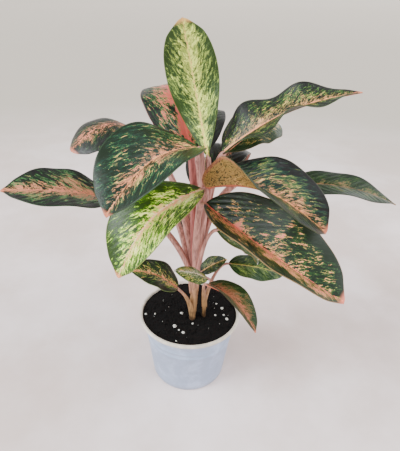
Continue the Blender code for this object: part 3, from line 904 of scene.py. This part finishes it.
LOOKS = {
    "lime": Look(((0.2, MEADOW), (0.17, FERN), (0.1, SAGE), (0.28, PEA), (0.25, BUTTER)),
                 CREAM, SAGE, gather=0.42, grain=0.9, lean=0.06, margin=0.01, blush=0.1),
    "pale": Look(((0.22, MEADOW), (0.16, GRASS), (0.12, LIME), (0.19, BUTTER), (0.22, IVORY),
                  (0.1, BLOSSOM)),
                 PEACH, LIME, gather=0.34, lean=-0.2, margin=0.008, blush=0.9),
    "rosy": Look(((0.29, INK), (0.27, FOREST), (0.14, JADE), (0.16, SHELL), (0.14, CORAL)),
                 CORAL, MAROON, gather=0.3, rib_width=0.036, margin=0.04, blush=0.9),
    "teal": Look(((0.39, PINE), (0.27, SPRUCE), (0.07, MOSS), (0.16, JADE), (0.1, CREAM)),
                 SHELL, FERN, gather=0.28, grain=0.8, rib_width=0.01, margin=0.04, blush=0.8),
    "mottled": Look(((0.34, INK), (0.27, PINE), (0.1, MOSS), (0.2, APPLE), (0.09, CREAM)),
                    SHELL, MEADOW, gather=0.2, grain=0.46, margin=0.05),
    "banded": Look(((0.31, INK), (0.28, PINE), (0.11, MOSS), (0.18, JADE), (0.11, SAND)),
                   SHELL, FERN, gather=0.3, rib_width=0.018, margin=0.04, stretch=1.3, blush=0.8),
    "dark": Look(((0.45, INK), (0.27, PINE), (0.09, MOSS), (0.12, FERN), (0.07, SHELL)),
                 SHELL, BOTTLE, gather=0.36, grain=0.7, rib_width=0.006, margin=0.04, blush=0.8),
    "shaded": Look(((0.5, BOTTLE), (0.22, FERN), (0.08, OLIVE), (0.14, WHEAT), (0.06, PEACH)),
                   CHALK, OLIVE, gather=0.36, grain=0.7, rib_width=0.005, margin=0.04, blush=0.4),
    "olive": Look(((0.5, MEADOW), (0.22, SAGE), (0.08, OLIVE), (0.14, CREAM), (0.06, PEACH)),
                  CHALK, OLIVE, gather=0.3, grain=0.8, rib_width=0.006, margin=0.04),
    "ochre": Look(((0.4, INK), (0.26, SPRUCE), (0.13, FERN), (0.15, SAGE), (0.06, CREAM)),
                  SHELL, WHEAT, gather=0.24, grain=0.8, rib_width=0.006, margin=0.05,
                  stretch=1.6, blush=0.7),
    "grey": Look(((0.44, PINE), (0.28, BOTTLE), (0.12, MOSS), (0.11, FERN), (0.05, BRONZE)),
                 SAND, FERN, gather=0.2, grain=0.8, rib_width=0.005, margin=0.04, blush=0.6),
    "splashed": Look(((0.4, PINE), (0.2, MOSS), (0.1, SAGE), (0.1, CREAM), (0.14, SALMON),
                      (0.06, BLUSH)),
                     SALMON, SAGE, gather=0.33, grain=1.1, rib_width=0.006, lean=0.1,
                     margin=0.05, patch=0.9, blush=1),
    "blotched": Look(((0.5, PINE), (0.17, MOSS), (0.07, APPLE), (0.12, PEA), (0.14, PEACH)),
                     SHELL, FERN, gather=0.4, rib_width=0.007),
    "lined": Look(((0.43, FOREST), (0.29, FERN), (0.16, SAGE), (0.12, PEA)),
                  CREAM, SAGE, gather=0.1, grain=0.55, rib_width=0.006, margin=0.02,
                  stretch=2.5, blush=0),
    "netted": Look(((0.4, PINE), (0.22, BOTTLE), (0.13, FERN), (0.16, SAGE), (0.09, SAND)),
                   CREAM, KHAKI, gather=0.1, grain=0.5, rib_width=0.005, margin=0.006, blush=0.2),
    "striped": Look(((0.31, BOTTLE), (0.17, FERN), (0.12, SAGE), (0.24, PEA), (0.16, CREAM)),
                    CHALK, SAGE, gather=0.2, grain=0.55, rib_width=0.006, margin=0.008,
                    blush=0.3),
    "bronze": Look(((0.34, BOTTLE), (0.18, FERN), (0.16, KHAKI), (0.24, BRONZE), (0.07, SAND)),
                   SHELL, KHAKI, gather=0.36, grain=0.6, rib_width=0.01, margin=0.02, blush=0.6),
}
print("looks:", ", ".join(LOOKS))

# %% [markdown]
# The splashes follow the side veins, which leave the midrib and sweep towards the tip. So the
# noise is not read at a point's place but at its vein: one axis counts across the veins, where
# the level changes fast, and the other along them, where it is drawn out. Broad round patches
# and three sizes of ragged streaks are added up. Then the level rises towards the midrib and
# falls at the margin, and on some blades painted shade lowers it over the half that gets less
# light. The midrib's own colour is broken in the same way.

# %% Blade pattern
PATCH_SIZE = 0.26            # decimetres across a broad patch
STREAKS = ((0.058, 0.12, 0.75), (0.027, 0.052, 1.0), (0.013, 0.024, 0.9))  # width, length, weight
RAGGED = 0.8                 # how much a streak's edges are torn
NOISE_SPREAD = 0.114         # how far one noise strays from 0.5
GATHER_SPREAD = 0.29         # and how far gathering moves the level
BAND_EDGE = 0.010            # half the width over which one band turns into the next
WAVER = 0.16                 # how much the streaks waver, in decimetres
BLUSH_STRAY = 2.4            # how far from the midrib its colour may stray
MARGIN_SHADE = 0.22          # how much darker the level gets at the margin
HALF_SHIFT = 5.3             # keeps the two halves of a blade from mirroring each other
STREAK_SHIFT = 11.0          # and the sizes of streak from lying on each other
RIB_NARROWING = 1.35         # the coloured midrib's width at the base; it is 1 less at the tip
RIB_BREAKS = 3.2             # how strongly it is broken up


def band_stops(look):
    """Where each band starts on the scale of levels, worked out from the shares covered."""
    spread = NOISE_SPREAD * math.hypot(look.patch, *(weight for _, _, weight in STREAKS))
    level = NormalDist(0.5, math.hypot(spread, GATHER_SPREAD * look.gather))
    stops, covered = [], 0.0
    for (share, below), (_, above) in zip(look.bands, look.bands[1:]):
        covered += share
        edge = level.inv_cdf(covered)
        stops += [(edge - BAND_EDGE, below), (edge + BAND_EDGE, above)]
    return stops


def blade_pattern(finish, look, seed):
    """The colour of a blade's upper face, and the fine streaks that the bump also uses."""
    along, across, margin = finish.parts(finish.attribute("place"))
    share, turn, _ = finish.parts(finish.attribute("shares"))
    out = abs(across)
    left = finish.sum("GREATER_THAN", across, 0.0)
    flat = finish.vector(along, across, seed)
    waver = finish.noise(flat, 9.0, 4.0, 0.6) - 0.5
    vein = along - out * VEIN_SLANT - out * out * (VEIN_CURVE / DECI) + waver * WAVER
    patches = finish.noise(flat, 1 / (PATCH_SIZE * look.grain), 2.0, 0.5, RAGGED)
    level = look.gather * (0.5 - abs(turn)) + 0.5 + (patches - 0.5) * look.patch
    streaks = []
    for index, (width, length, weight) in enumerate(STREAKS):
        spot = finish.vector(vein * (1 / (width * look.grain)),
                             out * (1 / (length * look.grain * look.stretch)),
                             left * HALF_SHIFT + (seed + STREAK_SHIFT * index))
        streaks.append(finish.noise(spot, 1.0, 2.0, 0.6, RAGGED))
        level = level + (streaks[-1] - 0.5) * weight
    # painted shade: the level is lowered over the half of the blade that gets less light
    shade = left * look.lean if look.lean >= 0 else (1 - left) * -look.lean
    level = level - shade - finish.step(margin, look.margin, 0.0) * MARGIN_SHADE
    stops = band_stops(look)
    colour = finish.ramp(level, stops)
    broad, medium, fine = streaks
    near = finish.step(abs(turn) + (broad - 0.5) * BLUSH_STRAY, 0.6, 0.2)
    pale = finish.step(level, stops[-4][0], stops[-3][0] + BAND_EDGE)
    colour = finish.mix(near * pale * look.blush, colour, look.rib)
    breaks = finish.noise(finish.vector(along, 0.0, seed + 5.0), 14.0, 3.0, 0.6)
    width = (RIB_NARROWING - share) * (breaks * RIB_BREAKS - 0.6) * look.rib_width \
        + (medium - 0.5) * (0.03 + look.rib_width)
    rib = finish.step(out - width, 0.002, -0.002)
    rib_tint = finish.mix(finish.step(fine, 0.4, 0.62), look.rib, look.bands[-1][1])
    colour = finish.mix(rib, colour, rib_tint)
    colour = finish.mix(finish.step(margin, 0.007, 0.002) * 0.25, colour, look.bands[3][1])
    colour = finish.mix(finish.step(share, 0.955, 0.99) * 0.8, colour, look.rib)
    return colour, fine, medium


# %% [markdown]
# A blade is waxy: smooth enough for a broad sheen, and the veins and streaks break that sheen
# up. The underside is duller and paler. The pattern shows through it faintly, dark speckles lie
# on it, the midrib stands out pink, and so does the margin.

# %% Blade finishes
SEED_STEP = 3.7              # how far apart two blades read the noise


def upper_finish(name, look, seed):
    finish = Finish("upper_" + name, Specular_IOR_Level=0.38)
    colour, fine, medium = blade_pattern(finish, look, seed)
    skin = fine * 0.5 + medium * 0.5
    return finish.wear(Base_Color=colour, Roughness=0.24 + fine * 0.2,
                       Normal=finish.bump(skin, 0.0009, 0.5))


def under_finish(name, look, seed):
    finish = Finish("under_" + name, Specular_IOR_Level=0.3)
    colour, fine, medium = blade_pattern(finish, look, seed)
    colour = finish.mix(0.65, colour, look.under)
    speckle = finish.noise(finish.attribute("place"), 44.0, 3.0, 0.6, 0.6)
    dark = tuple((a + b) / 2 for a, b in zip(look.bands[0][1], look.bands[1][1]))
    colour = finish.mix(finish.step(speckle, 0.53, 0.56) * 0.85, colour, dark)
    _, across, margin = finish.parts(finish.attribute("place"))
    rib = finish.step(abs(across), 0.022, 0.012)
    edge = finish.step(margin + (medium - 0.5) * 0.05, 0.05, 0.02)
    colour = finish.mix(rib * 0.85, colour, tone(216, 160, 144))
    colour = finish.mix(edge * 0.5, colour, tone(206, 152, 138))
    return finish.wear(Base_Color=colour, Roughness=0.42 + fine * 0.2,
                       Normal=finish.bump(medium, 0.0008, 0.4))


for index, leaf in enumerate(LEAVES):
    look = LOOKS[leaf.look]
    seed = SEED_STEP * index + 1.0
    finishes = [upper_finish(leaf.name, look, seed), under_finish(leaf.name, look, seed)]
    make_blade(leaf, finishes)
print("blades made:", len(LEAVES))

# %% [markdown]
# ## Canes and stalks
# A stalk leaves its cane upwards, as a broad sheath with thin edges that clasps the stem, and
# turns over into the line of the midrib. A tube of even thickness would look like wire, so the
# stalk is a skin: a grid wrapped round a path, whose section changes from a flat crescent at
# the sheath to a grooved round at the blade. The canes are the same kind of skin with the rings
# that old leaves have left.

# %% Paths and skins
CANE_FOOT_Z = 55.0


@dataclass
class Cane:
    """A stem: its place in the soil, where its top is, and its radii there."""
    foot: tuple
    top: tuple
    radii: tuple

    def axis(self, height):
        """The point on the cane's axis at this height; it stands upright below the soil's top."""
        share = max(0.0, (height - SOIL_TOP) / (self.top[2] - SOIL_TOP))
        x = self.foot[0] + (self.top[0] - self.foot[0]) * share
        y = self.foot[1] + (self.top[1] - self.foot[1]) * share
        return Vector((x, y, height))


CANES = {
    "main": Cane(foot=(4, -15), top=(8, -10, 190), radii=(4.2, 6.0)),
    "side": Cane(foot=(20, -9), top=(20, -10, 132), radii=(2.6, 3.2)),
}


def skin(name, place_at, around, steps, finishes, slot, solids=()):
    """Wrap a grid round a path. place_at(w, angle) gives the skin's point, w from 0 to 1."""
    bm = bmesh.new()
    bmesh.ops.create_grid(bm, x_segments=around, y_segments=steps, size=1.0)
    shares = bm.verts.layers.float_vector.new("shares")
    for vert in bm.verts:
        angle, w = math.pi * vert.co.x, (vert.co.y + 1) / 2
        vert[shares] = Vector((w, angle / math.pi, 0.0))
        vert.co = place_at(w, angle) * MM
    bmesh.ops.remove_doubles(bm, verts=bm.verts, dist=1e-6)
    bmesh.ops.recalc_face_normals(bm, faces=bm.faces)
    return add_piece(name, bm, finishes, solids, sharp=60.0)


def stalk_path(leaf):
    """The four points of a stalk's curve, from the cane to the blade's midrib."""
    start = CANES[leaf.cane].axis(leaf.rise)
    point, along, _, above = midrib(leaf, 0.0)
    end = point - above * (BLADE_RIB / 2) - along * GAP
    reach = (end - start).length
    level = Vector((end.x - start.x, end.y - start.y, 0)) / reach
    leave = start + (UP * leaf.lift + level * 0.15) * reach
    arrive = end - along * min(14.0, reach * 0.3)
    return start, leave, arrive, end


def on_curve(points, w):
    """The point and direction at w on a curve of four points."""
    a, b, c, d = points
    v = 1 - w
    point = a * v ** 3 + b * 3 * v * v * w + c * 3 * v * w * w + d * w ** 3
    run = (b - a) * v * v + (c - b) * 2 * v * w + (d - c) * w * w
    return point, run.normalized()


# %% Make a stalk
STALK_OVERRUN = 0.05         # share of the stalk that runs on under the midrib
STALK_LENGTH = 110           # a stalk's rough length, which sizes that stretch
CANE_RING_PITCH = 11.0       # distance between two leaf scars on a cane
CANE_RING_WIDTH = 0.9
CANE_RING_HEIGHT = 0.35
CANE_LUMPS = 0.35            # height of its fine unevenness


def make_stalk(leaf, finish, solids=()):
    points = stalk_path(leaf)
    level = Vector((points[3].x - points[0].x, points[3].y - points[0].y, 0)).normalized()
    wide, thin = leaf.petiole

    def place_at(w, angle):
        along_path = min(1.0, w * (1 + STALK_OVERRUN))
        centre, run = on_curve(points, along_path)
        centre = centre + run * max(0.0, w * (1 + STALK_OVERRUN) - 1) * STALK_LENGTH
        side = level.cross(UP)
        side = (side - run * side.dot(run)).normalized() * -1
        inner = run.cross(side)
        radius = wide + (thin - wide) * smooth_step(0.0, 0.9, along_path)
        sheath = 1 - smooth_step(0.2, 0.62, along_path)
        close = smooth_step(0.0, 0.02, w) * (1 - smooth_step(0.95, 1.0, w) * 0.98)
        groove = 0.3 * math.exp(-(angle / 0.55) ** 2) * (1 - sheath)
        inwards = math.cos(angle) * (1 - groove) * (1 - 0.35 * sheath * (math.cos(angle) > 0))
        sideways = math.sin(angle) * (1 + 0.35 * sheath)
        return centre + (inner * inwards + side * sideways) * radius * close

    return skin("stalk_" + leaf.name, place_at, 20, 44, [finish], "stem", solids)


def make_cane(key, finish):
    cane = CANES[key]
    top = cane.top[2] + 6

    def place_at(w, angle):
        height = CANE_FOOT_Z + (top - CANE_FOOT_Z) * w
        centre = cane.axis(height)
        share = max(0.0, (height - SOIL_TOP) / (top - SOIL_TOP))
        radius = cane.radii[0] + (cane.radii[1] - cane.radii[0]) * min(1.0, share)
        from_ring = height % CANE_RING_PITCH - CANE_RING_PITCH / 2
        ring = math.exp(-(from_ring / CANE_RING_WIDTH) ** 2) * CANE_RING_HEIGHT
        way = Vector((math.cos(angle), math.sin(angle), 0))
        lumps = CANE_LUMPS * noise.noise(way * 2 + UP * height * 0.12)
        close = smooth_step(0.0, 0.01, w) * (1 - smooth_step(0.96, 1.0, w))
        return centre + way * (radius + ring + lumps) * close

    return skin("cane_" + key, place_at, 28, 90, [finish], "stem", ["stems_" + key])


# %% [markdown]
# Stalks are fleshy and pink-white, with faint long streaks. Lower down they turn tan, and the
# canes are brown where they come out of the soil. The colour is set by height, with noise that
# keeps the change uneven.

# %% Stem finish
TAN_HIGH, TAN_LOW = 0.185, 0.135      # heights in metres between which the pink turns tan
BROWN_HIGH, BROWN_LOW = 0.122, 0.104  # and the tan turns brown


def stem_finish(name, pink, pale, brown):
    finish = Finish(name, Specular_IOR_Level=0.45)
    place = finish.place()
    x, y, height = finish.parts(place)
    streaks = finish.noise(finish.vector(x * 9.0, y * 9.0, height), 45.0, 3.0, 0.6)
    blotches = finish.noise(place, 70.0, 3.0)
    flesh = finish.mix(finish.step(streaks, 0.3, 0.75), pink, pale)
    uneven = height + blotches * 0.04 - 0.02
    tan = finish.mix(finish.step(streaks, 0.35, 0.7), tone(172, 144, 110), tone(204, 180, 146))
    colour = finish.mix(finish.step(uneven, TAN_HIGH, TAN_LOW), flesh, tan)
    colour = finish.mix(finish.step(uneven, BROWN_HIGH, BROWN_LOW), colour, brown)
    return finish.wear(Base_Color=colour, Roughness=0.38 + streaks * 0.15,
                       Normal=finish.bump(streaks, 0.0006, 0.4))


stem_look = stem_finish("stem_pink", tone(186, 148, 142), tone(216, 192, 186), tone(110, 82, 58))
rosy_look = stem_finish("stem_rosy", tone(180, 118, 115), tone(204, 154, 149), tone(110, 82, 58))
for key in CANES:
    make_cane(key, stem_look)
for leaf in LEAVES:
    make_stalk(leaf, rosy_look if leaf.look == "rosy" else stem_look)
print("canes and stalks:", len(CANES) + len(LEAVES))

# %% [markdown]
# ## Sizes
# The dressed plant has to fill the same box as the solids. Both boxes are written out so they
# can be compared.

# %% Sizes
boxes = {"solids": [list(corner) for corner in solid_box],
         "dressed": [list(corner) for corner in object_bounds()]}
for name, (low, high) in boxes.items():
    print(name, [round((b - a) * 1000, 1) for a, b in zip(low, high)], "mm")
